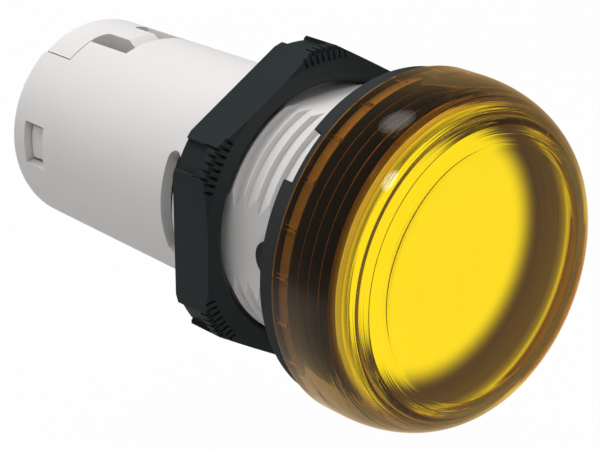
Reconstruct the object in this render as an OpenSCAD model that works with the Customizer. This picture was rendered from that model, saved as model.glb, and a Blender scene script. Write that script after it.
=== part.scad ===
// Panel pilot light for a 22 mm cut-out: one-piece threaded body, amber lens,
// light emitting diodes on an inner board and screw terminals at the rear.
//
// Every piece is drawn on the local Z axis, with z = 0 at the panel's front
// face, +z towards the lens and +y upwards. place() then lays the axis along Y,
// so the lens looks towards -Y and +Z stays up.

/* [Thread] */
// Outside diameter of the thread
thread_d = 22; // [21.4:0.1:24]
// Pitch of the thread
thread_pitch = 1.5; // [1:0.25:2]
// Height of a thread ridge
thread_h = 0.48; // [0.3:0.02:0.55]
// Width of the land on top of a ridge
thread_land = 0.14; // [0.08:0.02:0.3]
// Length of the threaded barrel
thread_len = 12.6; // [12.3:0.1:15]
// Depth of the four flats of the barrel below the thread's crests
flat_set = 0.9; // [0.7:0.05:0.95]

/* [Housing] */
// Diameter of the body just behind the thread
body_d = 20.04; // [19.4:0.02:20.2]
// Draft of the body from the thread to its rear end, on the radius
body_draft = 0.34; // [0.1:0.02:0.5]
// Wall of the body at its rear end
body_wall = 0.88; // [0.7:0.02:1]
// Radius of the rounding on the rear edge
rear_round = 0.45; // [0.2:0.05:0.6]
// Thickness of the flange behind the lens
flange_t = 0.95; // [0.8:0.05:1.3]
// Distance from the panel face to the ledge that carries the lamp board
ledge_depth = 5.2; // [4.6:0.1:6]
// Thickness of that ledge
ledge_t = 1; // [0.8:0.1:1.2]
// Width of that ledge
ledge_w = 1.1; // [0.8:0.1:1.5]

/* [Openings in the housing] */
// Distance from the panel face to the middle of the relief slots
slot_depth = 17.03; // [16:0.1:20]
// Width of the relief slots
slot_w = 1.6; // [1.2:0.1:2]
// Angle that each relief slot spans
slot_span = 56; // [40:1:70]
// Clock angle of the middle of the relief slots and the catch windows
side_angle = 88; // [80:1:95]
// Half angle of the window over the latch tongue
window_half = 19.8; // [15:0.2:24]
// Length of that window along the body
window_len = 5.3; // [4.8:0.1:6]
// Half angle of the terminal block's visible segment
segment_half = 36; // [30:1:40]
// Length of that segment at the rear end
segment_len = 4.22; // [3.6:0.1:5]
// Gap round the segment
segment_gap = 0.12; // [0.08:0.02:0.2]
// Half angle of the catch windows
catch_half = 12; // [9:0.5:14]
// Length of the catch windows along the body
catch_len = 2.9; // [2.4:0.1:3.4]
// Distance from the rear end to the catch windows
catch_set = 1.97; // [1.6:0.1:2.4]

/* [Lens] */
// Overhang of the lens beyond the thread
head_over = 3.75; // [3.5:0.05:4.6]
// Length of the straight rim of the lens
lens_rim = 2.04; // [1.8:0.05:3]
// Height of the rounded shoulder
lens_shoulder = 7.1; // [6.6:0.1:8.5]
// Width of that shoulder, from the flat face to the edge
lens_shoulder_w = 4.19; // [3.9:0.01:4.4]
// Wall thickness of the lens
lens_wall = 1.3; // [1.1:0.05:1.5]
// Distance from the inner face to the narrow ledge inside the shoulder
lens_ledge_drop = 1.07; // [0.9:0.01:1.3]
// Width of that ledge
lens_ledge_w = 0.36; // [0.1:0.01:0.4]
// Distance from the inner face to the fine edge above the ledge
lens_lip_drop = 0.4; // [0.3:0.01:0.5]
// Height of that edge
lens_lip_w = 0.08; // [0.04:0.01:0.12]
// Number of index marks round the rim
mark_count = 23; // [12:1:30]
// Length of an index mark
mark_len = 1.15; // [0.8:0.05:1.4]
// Width of an index mark
mark_w = 0.34; // [0.2:0.02:0.5]
// Depth of an index mark
mark_h = 0.25; // [0.1:0.05:0.4]
// Radial gap between the lens and what it covers
lens_gap = 0.22; // [0.15:0.01:0.3]

/* [Collar and light parts] */
// Pitch of the rings on the collar
ring_pitch = 0.93; // [0.8:0.01:1.1]
// Height of a ring
ring_h = 0.3; // [0.2:0.02:0.34]
// Radial distance from the lens wall to the mouth of the diffuser's bowl
dish_inset = 1.65; // [1.4:0.05:1.9]
// Depth of that bowl
dish_depth = 3.1; // [2.8:0.1:3.4]
// Radius between the floor and the wall of the bowl
dish_round = 2.2; // [1.4:0.1:2.4]
// Gap between the diffuser and the inner face of the lens
dish_set = 2.22; // [1.8:0.02:2.4]
// Thickness of the diffuser's rim
dish_rim_t = 0.5; // [0.4:0.05:0.7]
// Thickness of the diffuser
diffuser_t = 0.55; // [0.45:0.05:0.65]
// Distance from the mouth of the bowl in to the collar's bore
collar_inset = 0.6; // [0.3:0.05:1]
// Gap between light parts
light_gap = 0.1; // [0.06:0.02:0.14]
// Wall of the reflector at its front
reflector_t = 0.6; // [0.5:0.05:0.8]
// Wall of the reflector at the lamp board
reflector_base_t = 1.3; // [1:0.1:1.4]
// Diameter of the seal ring's cord
seal_cord = 0.84; // [0.7:0.02:0.9]

/* [Panel gasket] */
// Set-back of the gasket's edge from the edge of the lens
gasket_inset = 0.47; // [0.2:0.01:0.8]
// Thickness of the gasket
gasket_t = 1.78; // [1.5:0.02:2.2]
// Width of the notch in the gasket's rear face
notch_w = 4.5; // [3:0.1:6]
// Depth of that notch
notch_h = 0.94; // [0.5:0.02:1.2]
// Clock angle of that notch
notch_angle = -46.4; // [-60:0.2:-35]
// Width of the locating tongue that lies on a barrel flat
tongue_w = 3.1; // [2.4:0.1:4]
// Length of the locating tongue behind the panel face
tongue_len = 4.7; // [3.5:0.1:5.5]
// Thickness of the locating tongue
tongue_t = 0.52; // [0.4:0.02:0.6]
// Gap between the gasket and the barrel
gasket_gap = 0.05; // [0.03:0.01:0.1]
// Clearance over the thread of the lead-in at the rear of the gasket's hole
gasket_lead = 0.15; // [0.1:0.01:0.3]
// Depth of that lead-in
gasket_lead_h = 0.5; // [0.3:0.05:0.7]

/* [Ring nut] */
// Wall of the nut at its flats
nut_wall = 1.95; // [1.7:0.05:2.4]
// Height of the rounded corners above the flats
nut_corner_h = 1.26; // [1.1:0.02:1.4]
// Thickness of the nut
nut_t = 4.3; // [3.8:0.1:5]
// Distance from the panel face to the nut
nut_set = 7.9; // [7.6:0.1:8.2]
// Radial running clearance on the thread
nut_clear = 0.08; // [0.05:0.01:0.1]
// Depth of the finger recess at a corner
recess_h = 0.42; // [0.2:0.02:0.6]
// Half angle of the finger recess
recess_half = 5.4; // [4:0.2:6]
// Length of the finger recess from the rear face
recess_len = 3; // [2:0.1:3.3]
// Width of the toothed band round the front edge at the corners
band_w = 1.13; // [0.9:0.01:1.3]
// Drop of the toothed band at the corners
band_drop = 0.32; // [0.2:0.02:0.5]
// Angle between two teeth of the band
tooth_step = 2.65; // [2.2:0.05:3.2]
// Number of gaps between teeth at a corner
tooth_gaps = 8; // [6:1:9]
// Width of a gap between teeth
tooth_gap_w = 0.26; // [0.2:0.02:0.32]
// Size of the chamfers on the nut's bore
nut_chamfer = 0.6; // [0.3:0.05:0.8]

/* [Terminals] */
// Gap between the terminal block's base and the bore
block_gap = 0.2; // [0.15:0.01:0.3]
// Set-back of the block's rear face from the rear end
block_set = 0.3; // [0.1:0.05:0.5]
// Sideways distance of the screws from the middle
screw_x = 4.1; // [4:0.05:4.3]
// Height of the screws above the middle
screw_y = 1.6; // [1.4:0.05:1.8]
// Diameter of the terminal screws' thread
screw_d = 3; // [2.6:0.1:3.2]
// Diameter of the screw heads
screw_head_d = 4.9; // [4.4:0.1:5]
// Height of the screw heads
screw_head_h = 1.8; // [1.4:0.1:2]
// Length of the screw below the head
screw_len = 5.6; // [5:0.1:6.5]
// Radial clearance round the screw's thread
screw_clear = 0.06; // [0.03:0.01:0.1]
// Clearance round the screw head in its well
well_clear = 0.3; // [0.2:0.05:0.4]
// Diameter of the wire entries
wire_d = 3.6; // [3.2:0.1:3.8]
// Sideways distance of the wire entries
wire_x = 3.6; // [3.4:0.05:3.8]
// Drop of the wire entries below the middle
wire_y = 4.9; // [4.7:0.05:5]
// Depth of the wire entries before they open into the chamber
wire_wall = 2.5; // [2:0.1:3]
// Distance of the terminals from the rear end
terminal_set = 6.77; // [6.4:0.1:7.2]
// Thickness of the terminals
terminal_t = 0.8; // [0.6:0.05:1]
// Length of the threaded boss on a terminal
terminal_boss = 1.6; // [1.2:0.1:2]
// Length of the tail that lies on the supply board
tail_len = 4.2; // [3.6:0.1:4.4]
// Width of that tail
tail_w = 2; // [1.4:0.1:2.6]
// Side of the square clamp plates
clamp_w = 5; // [4.6:0.1:5.1]
// Thickness of the clamp plates
clamp_t = 0.9; // [0.7:0.05:1.1]
// Gap under a clamp plate that is screwed down
clamp_gap = 0.3; // [0.2:0.05:0.4]
// Clearance round the clamp plates
clamp_clear = 0.15; // [0.1:0.05:0.25]
// Length of the latch tongue in front of the segment
latch_len = 4.5; // [4:0.1:4.9]
// Width of the latch tongue
latch_w = 2.9; // [2.4:0.1:3.6]
// Thickness of the latch tongue
latch_t = 2; // [1.6:0.1:2.2]
// Depth of the free space around the latch tongue
latch_room = 3.6; // [3.2:0.1:3.8]
// Width of the hollow curve at each side of the latch tongue's root
latch_root_w = 1.7; // [1:0.1:1.8]
// Length of that curve along the body
latch_root_l = 0.8; // [0.5:0.1:1]
// Height of the side catches above the block
catch_h = 0.38; // [0.3:0.02:0.44]

/* [Boards] */
// Thickness of the printed boards
board_t = 1.6; // [1:0.1:1.8]
// Clearance of the supply board's lower edges in the bore
board_inset = 0.24; // [0.15:0.01:0.8]
// Distance from the middle down to the face of the supply board
board_drop = 4.4; // [4.2:0.05:4.6]
// Depth of the guide rails' grooves
rail_groove = 0.5; // [0.4:0.05:0.6]
// Gap round the boards
board_gap = 0.1; // [0.06:0.02:0.15]
// Gap between the lamp board and the bore
lamp_board_gap = 0.3; // [0.2:0.05:0.5]
// Thickness of the lamp board
lamp_board_t = 1; // [0.8:0.1:1.2]
// Distance between the header's pins
header_pitch = 2.54; // [2:0.01:2.6]
// Thickness of those pins
header_pin = 0.64; // [0.5:0.02:0.7]
// Length of the pin header along the board
header_l = 2.2; // [1.8:0.1:2.4]
// Distance from the header to the front end of the board
header_set = 0.2; // [0.1:0.05:0.4]
// Height of the pin header
header_h = 2.5; // [2:0.1:3]
// Number of lamps in the ring
lamp_count = 6; // [3:1:6]
// Pitch radius of the lamps
lamp_r = 4.6; // [4:0.1:5]
// Width of a lamp
lamp_w = 3; // [2.6:0.1:3.2]
// Height of a lamp
lamp_h = 1.4; // [1:0.1:1.8]

/* [Parts on the supply board] */
// Free length of the board behind the header
board_spare = 0.85; // [0.4:0.05:6]
// Gap between neighbouring parts
part_gap = 0.35; // [0.25:0.05:0.5]
// Sideways distance of the parts that stand in a pair
part_x = 3.1; // [2.9:0.1:3.3]
// Diameter of the component leads
lead_d = 0.6; // [0.4:0.05:0.7]
// Diameter of the resistor bodies
resistor_d = 1.9; // [1.6:0.1:2]
// Length of the resistor bodies
resistor_l = 6; // [5:0.2:6.6]
// Width of the film capacitor
film_w = 10.4; // [9:0.2:11]
// Height of the film capacitor
film_h = 9; // [8:0.2:9.6]
// Thickness of the film capacitor
film_t = 4.6; // [4:0.1:4.8]
// Diameter of the smoothing capacitor
can_d = 5; // [4.6:0.1:5.2]
// Height of the smoothing capacitor
can_h = 7; // [6:0.2:9]
// Diameter of the varistor disc
disc_d = 5; // [4.6:0.1:5.2]
// Thickness of the varistor disc
disc_t = 2.2; // [1.6:0.1:2.4]
// Width of the bridge rectifier
bridge_w = 4.7; // [4:0.1:5.4]
// Height of the bridge rectifier's body
bridge_h = 2.2; // [1.8:0.1:2.6]
// Gap under the bridge rectifier's body
bridge_stand = 0.4; // [0.3:0.05:0.6]
// Width of the bridge rectifier's leads
bridge_lead_w = 0.6; // [0.4:0.05:0.8]
// Reach of the bridge rectifier's leads beside the body
bridge_lead_l = 0.6; // [0.4:0.05:0.9]
// Thickness of the bridge rectifier along the board
bridge_t = 3.9; // [3.4:0.1:4]

/* [Hidden] */

$fn = 96;
eps = 0.01;
body_len = ledge_depth + ledge_t + board_gap + header_set + header_l + board_spare
    + 2 * resistor_d + bridge_t + max(can_d, disc_d) + film_t + 5 * part_gap
    + tail_len + terminal_t + terminal_set;
rear = -body_len;
thread_r = thread_d / 2;
barrel_flats = thread_d - 2 * flat_set;
body_rear_d = body_d - 2 * body_draft;
bore_d = body_rear_d - 2 * body_wall;
block_d = bore_d - 2 * block_gap;
lamp_board_d = bore_d - 2 * lamp_board_gap;
board_w = 2 * (sqrt(pow(bore_d / 2, 2) - pow(board_drop + board_t, 2)) - board_inset);
lens_d = thread_d + 2 * head_over;
root_r = thread_r - thread_h;
bore_r = bore_d / 2;
lens_r = lens_d / 2;
lens_in_r = lens_r - lens_wall;
lens_z1 = gasket_t + lens_rim;
lens_z2 = lens_z1 + lens_shoulder;
lens_face_r = lens_r - lens_shoulder_w;
lens_in_z = lens_z2 - lens_wall;
gasket_d = lens_d - 2 * gasket_inset;
nut_flats = thread_d + 2 * nut_wall;
nut_corners = nut_flats + 2 * nut_corner_h;
band_r = nut_corners / 2 - band_w;
flange_r = lens_in_r - lens_gap;
flange_z = gasket_t + flange_t;
seal_set = 0.04;
seal_r = lens_in_r - seal_cord / 2 - seal_set;
seal_z = flange_z + seal_set + seal_cord / 2;
dish_z = lens_in_z - dish_set;
dish_r = lens_in_r - dish_inset;
floor_z = dish_z - dish_depth;
bowl_r = dish_r - dish_round;
bowl_z = floor_z + dish_round;
rim_r = inner_wall_r(dish_z) - lens_gap;
rim_z = dish_z - dish_rim_t;
collar_z = rim_z - light_gap;
collar_round = dish_round + diffuser_t + light_gap;
lamp_board_z = -ledge_depth + lamp_board_t;
segment_z = rear + segment_len;
block_z = rear + block_set;
block_r = block_d / 2;
chamber_z = block_z + wire_wall;
terminal_z = rear + terminal_set;
block_front = terminal_z + terminal_t + 0.2;
clamp_z = terminal_z - clamp_gap - clamp_t;
well_r = screw_head_d / 2 + well_clear;
board_z1 = block_front + 0.6;
board_z2 = -ledge_depth - ledge_t - board_gap;
board_y = -board_drop;
surge_z = terminal_z + terminal_t + tail_len + part_gap;
film_z = surge_z + resistor_d + part_gap;
can_z = film_z + film_t + part_gap;
bridge_z = can_z + max(can_d, disc_d) + part_gap;
bleed_z = bridge_z + bridge_t + part_gap;
header_z = board_z2 - header_set - header_l;

// Inner radius of the lens shoulder at height z
function inner_wall_r(z) = lens_face_r + (lens_in_r - lens_face_r)
    * sqrt(1 - pow(max(0, z - lens_z1) / (lens_shoulder - lens_wall), 2));
// Radius of the drafted body at depth z
function body_r(z) = body_rear_d / 2
    + (body_d - body_rear_d) / 2 * (z - rear) / (body_len - thread_len);

module place() {
    rotate([90, 0, 0]) children();
}

// Wedge-shaped block between two clock angles, from radius r0 outwards
module sector(r0, r1, half, z0, z1, clock = 0) {
    translate([0, 0, z0]) rotate([0, 0, -clock])
        rotate([0, 0, 90 - half]) rotate_extrude(angle = 2 * half)
            translate([r0, 0]) square([r1 - r0, z1 - z0]);
}

// Box centred on a radius, with its length along the radius at a clock angle
module spoke(r0, r1, w, z0, z1, clock = 0) {
    rotate([0, 0, -clock]) translate([-w / 2, r0, z0]) cube([w, r1 - r0, z1 - z0]);
}

module ring(r0, r1, z0, z1) {
    rotate_extrude() translate([r0, z0]) square([r1 - r0, z1 - z0]);
}

// Sawtooth ridges: a steep flank towards the lens, a long slope behind it
module thread_profile() {
    turns = floor((thread_len - 0.3) / thread_pitch);
    steep = thread_h * 0.35;
    polygon(concat(
        [[bore_r, gasket_t], [root_r, gasket_t]],
        [for (i = [0:turns - 1]) each [
            [root_r, -i * thread_pitch - 0.45],
            [thread_r, -i * thread_pitch - 0.45 - steep],
            [thread_r, -i * thread_pitch - 0.45 - steep - thread_land],
            [root_r, -(i + 1) * thread_pitch - 0.4]]],
        [[root_r, -thread_len], [bore_r, -thread_len]]));
}

module barrel() {
    intersection() {
        rotate_extrude() thread_profile();
        translate([-barrel_flats / 2, -barrel_flats / 2, -thread_len - 1])
            cube([barrel_flats, barrel_flats, thread_len + gasket_t + 1]);
    }
}

module body_profile() {
    polygon(concat(
        [[bore_r, -thread_len + eps], [body_r(-thread_len), -thread_len + eps],
            [body_r(rear + rear_round), rear + rear_round]],
        [for (a = [30:30:90])
            [body_rear_d / 2 - rear_round * (1 - cos(a)), rear + rear_round * (1 - sin(a))]],
        [[bore_r, rear]]));
}

// Circumferential slot with round ends, at one side of the body
module relief_slot(side) {
    end_half = slot_span / 2 - asin(slot_w / 2 / body_r(-slot_depth));
    sector(bore_r - 1, body_d, end_half, -slot_depth - slot_w / 2,
        -slot_depth + slot_w / 2, side * side_angle);
    for (a = [-end_half, end_half])
        rotate([0, 0, -side * side_angle - a]) translate([0, bore_r - 1, -slot_depth])
            rotate([-90, 0, 0]) cylinder(r = slot_w / 2 - 0.02, h = 5, $fn = 32);
}

// Two rails that hold the edges of the supply board
module board_rails() {
    rail_h = board_t + 2 * board_gap + 1.4;
    intersection() {
        translate([0, 0, board_z1 + 1]) cylinder(r = bore_r + 0.3, h = board_z2 - board_z1 - 1);
        difference() {
            for (s = [-1, 1])
                translate([s * (board_w / 2 + board_gap) - (s > 0 ? rail_groove : 4 - rail_groove),
                    board_y - board_t - board_gap - 0.7, rear])
                    cube([4, rail_h, body_len]);
            translate([-board_w / 2 - board_gap, board_y - board_t - board_gap, rear - 1])
                cube([board_w + 2 * board_gap, board_t + 2 * board_gap, body_len + 2]);
        }
    }
}

module housing() {
    color("gainsboro") place() {
        difference() {
            union() {
                barrel();
                rotate_extrude() body_profile();
                // flange that the lens closes over
                ring(bore_r, flange_r, gasket_t, flange_z);
                // ledge behind the lamp board
                ring(bore_r - ledge_w, bore_r + eps, -ledge_depth - ledge_t, -ledge_depth);
                board_rails();
            }
            // window over the latch tongue
            sector(bore_r - 0.5, body_d, window_half, segment_z - 0.5, segment_z + window_len);
            // seat of the terminal block's segment
            sector(bore_r - 0.5, body_d, segment_half, rear - 1, segment_z);
            for (s = [-1, 1]) {
                relief_slot(s);
                sector(bore_r - 0.5, body_d, catch_half, rear + catch_set,
                    rear + catch_set + catch_len, s * side_angle);
            }
        }
    }
}

// Outline of the clamp's chamber or of what fits in it, grown by g
module chamber_outline(s, g) {
    translate([s * screw_x - clamp_w / 2 - g, screw_y - clamp_w / 2 - g])
        square([clamp_w + 2 * g, clamp_w + 2 * g]);
}

module wire_outline(s, g) {
    translate([s * wire_x - wire_d / 2 - g, -wire_y - wire_d / 2 + 0.3 - g])
        square([wire_d + 2 * g, wire_y + screw_y - 0.3 + 2 * g]);
}

module terminal_block() {
    color("lightgray") place() {
        difference() {
            union() {
                translate([0, 0, block_z]) cylinder(r = block_r, h = block_front - block_z);
                segment();
                latch_tongue();
                for (s = [-1, 1]) side_catch(s);
            }
            latch_space();
            for (s = [-1, 1]) {
                translate([s * screw_x, screw_y, block_z - 1])
                    cylinder(r = well_r, h = chamber_z - block_z + 1.5);
                translate([s * wire_x, -wire_y, block_z - 1])
                    cylinder(d = wire_d, h = chamber_z - block_z + 1);
                translate([0, 0, chamber_z]) linear_extrude(block_front - chamber_z + 1) {
                    chamber_outline(s, clamp_clear);
                    intersection() {
                        wire_outline(s, 0);
                        circle(r = block_r - 0.65);
                    }
                }
                // seat of the terminal
                translate([0, 0, terminal_z]) linear_extrude(block_front - terminal_z + 1)
                    terminal_outline(s, 0.08);
            }
        }
    }
}

// Outline of the latch tongue, seen from above: a finger with hollow curves at its root
module latch_outline() {
    z0 = segment_z - segment_gap - 0.03;
    h = latch_w / 2;
    side = [for (a = [0:15:90])
        [h + latch_root_w * (1 - sin(a)), z0 + latch_root_l * (1 - cos(a))]];
    z1 = segment_z + latch_len;
    polygon(concat(
        [[h + latch_root_w, z0 - 0.5]], side, [[h, z1], [-h, z1]],
        [for (i = [len(side) - 1:-1:0]) [-side[i][0], side[i][1]]],
        [[-h - latch_root_w, z0 - 0.5]]));
}

// Free space beside and below the latch tongue
module latch_space() {
    z0 = segment_z - segment_gap;
    translate([0, block_r + 1, 0]) rotate([90, 0, 0]) linear_extrude(latch_room + 1)
        difference() {
            translate([-block_r, z0]) square([2 * block_r, body_len]);
            latch_outline();
        }
    translate([-block_r, block_r - latch_room, z0 + latch_root_l])
        cube([2 * block_r, latch_room - latch_t - 0.2, body_len]);
}

// Part of the block that closes the top of the housing's rear end
module segment() {
    half = segment_half - asin(segment_gap / body_r(rear));
    z1 = segment_z - segment_gap;
    rotate([0, 0, 90 - half]) rotate_extrude(angle = 2 * half)
        polygon([[block_r - 1, block_z], [body_r(block_z) - 0.25, block_z],
            [body_r(block_z), block_z + 0.25], [body_r(z1), z1], [block_r - 1, z1]]);
}

// Springy finger, flush with the body, with a ramp at its tip
module latch_tongue() {
    z0 = segment_z - segment_gap - 0.5;
    z1 = segment_z + latch_len;
    r0 = block_r - latch_t;
    intersection() {
        rotate_extrude() polygon([[r0, z0], [body_r(z0), z0], [body_r(z1 - 1.1), z1 - 1.1],
            [body_r(z1) - 0.75, z1], [r0, z1]]);
        translate([0, body_d, 0]) rotate([90, 0, 0]) linear_extrude(body_d) latch_outline();
    }
}

// Wedge that snaps into a side window: ramp in front, stop at the rear
module side_catch(s) {
    z0 = rear + catch_set + 0.25;
    z1 = rear + catch_set + catch_len;
    rotate([0, 0, -s * side_angle + 90 - (catch_half - 2.2)])
        rotate_extrude(angle = 2 * (catch_half - 2.2))
            polygon([[block_r - 1, z0], [block_r + catch_h, z0],
                [block_r + catch_h, z0 + 0.7], [block_r - 0.08, z1], [block_r - 1, z1]]);
}

module nut_corner_cuts(a) {
    rear_z = -nut_set - nut_t;
    r_in = nut_corners / 2 - recess_h;
    // finger recess in the rear part
    sector(r_in, nut_corners, recess_half, rear_z - 1, rear_z + recess_len, a);
}

module nut_teeth(a) {
    for (i = [0:tooth_gaps - 1])
        spoke(band_r - 0.02, nut_corners, tooth_gap_w, -nut_set - band_drop - 0.12,
            -nut_set + 1, a + (i - (tooth_gaps - 1) / 2) * tooth_step);
}

// Short gaps between the ribs in the front part of a corner
module nut_rib_gaps(a) {
    rear_z = -nut_set - nut_t;
    r_in = nut_corners / 2 - recess_h;
    for (i = [1:tooth_gaps - 3])
        spoke(r_in, nut_corners, tooth_gap_w, rear_z + recess_len - 0.5,
            -nut_set + 1, a + (i - (tooth_gaps - 3 + 1) / 2) * tooth_step);
}

module ring_nut() {
    rear_z = -nut_set - nut_t;
    bore = thread_r + nut_clear;
    tip = nut_corners / 2;
    color([0.13, 0.14, 0.14]) place() {
        difference() {
            intersection() {
                rotate([0, 0, 30]) translate([0, 0, rear_z])
                    cylinder(r = nut_flats / sqrt(3), h = nut_t, $fn = 6);
                rotate_extrude() polygon([
                    [bore, rear_z + nut_chamfer], [bore + nut_chamfer, rear_z],
                    [tip - 0.25, rear_z], [tip, rear_z + 0.25],
                    [tip, -nut_set - band_drop - 0.08], [band_r, -nut_set],
                    [bore + nut_chamfer, -nut_set], [bore, -nut_set - nut_chamfer]]);
            }
            for (a = [0:60:300]) {
                nut_corner_cuts(a);
                nut_teeth(a);
                nut_rib_gaps(a);
            }
        }
    }
}

module barrel_section(g) {
    intersection() {
        circle(r = root_r + g);
        square(barrel_flats + 2 * g, center = true);
    }
}

module panel_gasket() {
    flat = barrel_flats / 2 + gasket_gap;
    color([0.2, 0.21, 0.21]) place() {
        difference() {
            cylinder(r = gasket_d / 2, h = gasket_t);
            translate([0, 0, -1]) linear_extrude(gasket_t + 2) barrel_section(gasket_gap);
            translate([0, 0, -eps])
                cylinder(r1 = thread_r + gasket_lead, r2 = root_r, h = gasket_lead_h);
            spoke(thread_r, gasket_d, notch_w, -1, notch_h, notch_angle);
        }
        // locating tongue with a round end
        translate([-flat - tongue_t, 0, 0]) rotate([0, 90, 0]) {
            translate([tongue_len - tongue_w / 2, 0, 0]) cylinder(d = tongue_w, h = tongue_t);
            translate([-gasket_t, -tongue_w / 2, 0])
                cube([gasket_t + tongue_len - tongue_w / 2, tongue_w, tongue_t]);
        }
    }
}

// Elliptical shoulder; inside it run a narrow ledge and a fine edge above that
module lens_profile() {
    steps = 12;
    in_h = lens_shoulder - lens_wall;
    ledge_a = asin(1 - lens_ledge_drop / in_h);
    lip_a = asin(1 - lens_lip_drop / in_h);
    function inside(a) =
        [lens_face_r + (lens_in_r - lens_face_r) * cos(a), lens_z1 + in_h * sin(a)];
    polygon(concat(
        [[0, lens_z2], [0, lens_in_z]],
        [for (i = [4:-1:0]) inside(lip_a + (90 - lip_a) * i / 4)],
        [inside(lip_a) - [lens_lip_w, 0], inside(ledge_a) - [lens_ledge_w, 0]],
        [for (i = [steps:-1:0]) inside(ledge_a * i / steps)],
        [[lens_in_r, gasket_t], [lens_r, gasket_t]],
        [for (i = [0:steps]) let (a = 90 * i / steps)
            [lens_face_r + lens_shoulder_w * cos(a), lens_z1 + lens_shoulder * sin(a)]]));
}

module lens() {
    color([1, 0.65, 0.05, 0.55]) place()
        difference() {
            rotate_extrude() lens_profile();
            for (i = [0:mark_count - 1])
                spoke(lens_in_r - 1, lens_in_r + mark_h, mark_w, gasket_t - 1,
                    gasket_t + mark_len, -6.2 - i * 360 / mark_count);
        }
}

// Shallow bowl with a rim that rests on the collar
module diffuser_profile() {
    steps = 6;
    r_out = dish_round + diffuser_t;
    polygon(concat(
        [[0, floor_z - diffuser_t], [0, floor_z]],
        [for (i = [0:steps]) let (a = 90 * i / steps)
            [bowl_r + dish_round * sin(a), bowl_z - dish_round * cos(a)]],
        [[dish_r, dish_z], [rim_r - 0.1, dish_z], [rim_r, dish_z - 0.1], [rim_r, rim_z],
            [dish_r + diffuser_t, rim_z]],
        [for (i = [steps:-1:0]) let (a = 90 * i / steps)
            [bowl_r + r_out * sin(a), bowl_z - r_out * cos(a)]]));
}

module diffuser() {
    color([1, 0.86, 0.1]) place() rotate_extrude() diffuser_profile();
}

// Ribbed ring, hollowed round the bowl; its rear corner is stepped back for the seal
module collar_profile() {
    steps = 6;
    z0 = flange_z + seal_cord + 2 * seal_set;
    rings = floor((collar_z - z0) / ring_pitch);
    seat_r = seal_r - seal_cord / 2 - seal_set;
    collar_in_r = dish_r - collar_inset;
    low_a = asin((collar_in_r - bowl_r) / collar_round);
    polygon(concat(
        [[collar_in_r, flange_z], [seat_r, flange_z], [seat_r, z0]],
        [for (i = [0:rings - 1])
            let (z = z0 + i * ring_pitch, r = inner_wall_r(z + ring_pitch) - lens_gap) each [
                [r, z],
                [r, z + ring_pitch * 0.6],
                [r - ring_h, z + ring_pitch * 0.85],
                [r - ring_h, z + ring_pitch]]],
        [[inner_wall_r(collar_z) - lens_gap, z0 + rings * ring_pitch],
            [inner_wall_r(collar_z) - lens_gap, collar_z], [bowl_r + collar_round, collar_z]],
        [for (i = [steps:-1:0]) let (a = low_a + (90 - low_a) * i / steps)
            [bowl_r + collar_round * sin(a), bowl_z - collar_round * cos(a)]]));
}

module bezel_collar() {
    color([0.1, 0.1, 0.1]) place() rotate_extrude() collar_profile();
}

module lens_seal() {
    color([0.15, 0.15, 0.15]) place() translate([0, 0, seal_z])
        rotate_extrude() translate([seal_r, 0]) circle(d = seal_cord, $fn = 32);
}

// Cup round the lamps, wider inside towards the front
module reflector() {
    r = bore_r - light_gap;
    z1 = floor_z - diffuser_t - light_gap;
    color("white") place()
        rotate_extrude() polygon([
            [r - reflector_base_t, lamp_board_z], [r, lamp_board_z], [r, z1],
            [r - reflector_t, z1]]);
}

module lamp_board() {
    color("whitesmoke") place()
        translate([0, 0, lamp_board_z - lamp_board_t])
            cylinder(d = lamp_board_d, h = lamp_board_t);
}

module lamp(i) {
    place() rotate([0, 0, -i * 360 / lamp_count]) translate([0, lamp_r, lamp_board_z]) {
        color("ivory") difference() {
            translate([-lamp_w / 2, -lamp_w / 2, 0]) cube([lamp_w, lamp_w, lamp_h]);
            translate([0, 0, lamp_h - 0.4]) cylinder(d = lamp_w - 0.7, h = 1, $fn = 32);
        }
    }
}

module lamp_1() { lamp(0); }
module lamp_2() { lamp(1); }
module lamp_3() { lamp(2); }
module lamp_4() { lamp(3); }
module lamp_5() { lamp(4); }
module lamp_6() { lamp(5); }

module supply_board() {
    color("seagreen") place()
        translate([-board_w / 2, board_y - board_t, board_z1])
            cube([board_w, board_t, board_z2 - board_z1]);
}

// Pins that carry the lamp board's current, in a moulded strip
module board_header() {
    color("black") place() {
        translate([-header_pitch, board_y, header_z])
            cube([2 * header_pitch, header_h, header_l]);
        for (s = [-1, 1])
            translate([s * header_pitch / 2, board_y + header_h / 2, header_z + header_l / 2])
                translate([-header_pin / 2, -header_pin / 2, 0])
                    cube([header_pin, header_pin,
                        lamp_board_z - lamp_board_t - header_z - header_l / 2]);
    }
}

module film_capacitor() {
    color("goldenrod") place()
        translate([-film_w / 2, board_y, film_z]) cube([film_w, film_h, film_t]);
}

// Two-lead disc, standing on edge along the board
module varistor() {
    h = disc_d / 2 + 0.6;
    color("royalblue") place() translate([-part_x, board_y, can_z + can_d / 2]) {
        translate([0, h, 0]) rotate([0, 90, 0])
            cylinder(d = disc_d, h = disc_t, center = true, $fn = 48);
        for (s = [-1, 1]) translate([0, h / 2, s * 1.2]) rotate([-90, 0, 0])
            cylinder(d = lead_d, h = h, center = true, $fn = 16);
    }
}

module smoothing_capacitor() {
    color("midnightblue") place()
        translate([part_x, board_y, can_z + can_d / 2]) rotate([-90, 0, 0]) rotate_extrude()
            polygon([[0, 0], [can_d / 2, 0], [can_d / 2, 0.9], [can_d / 2 - 0.15, 1.1],
                [can_d / 2, 1.3], [can_d / 2, can_h - 0.25], [can_d / 2 - 0.25, can_h],
                [0, can_h]]);
}

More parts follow.
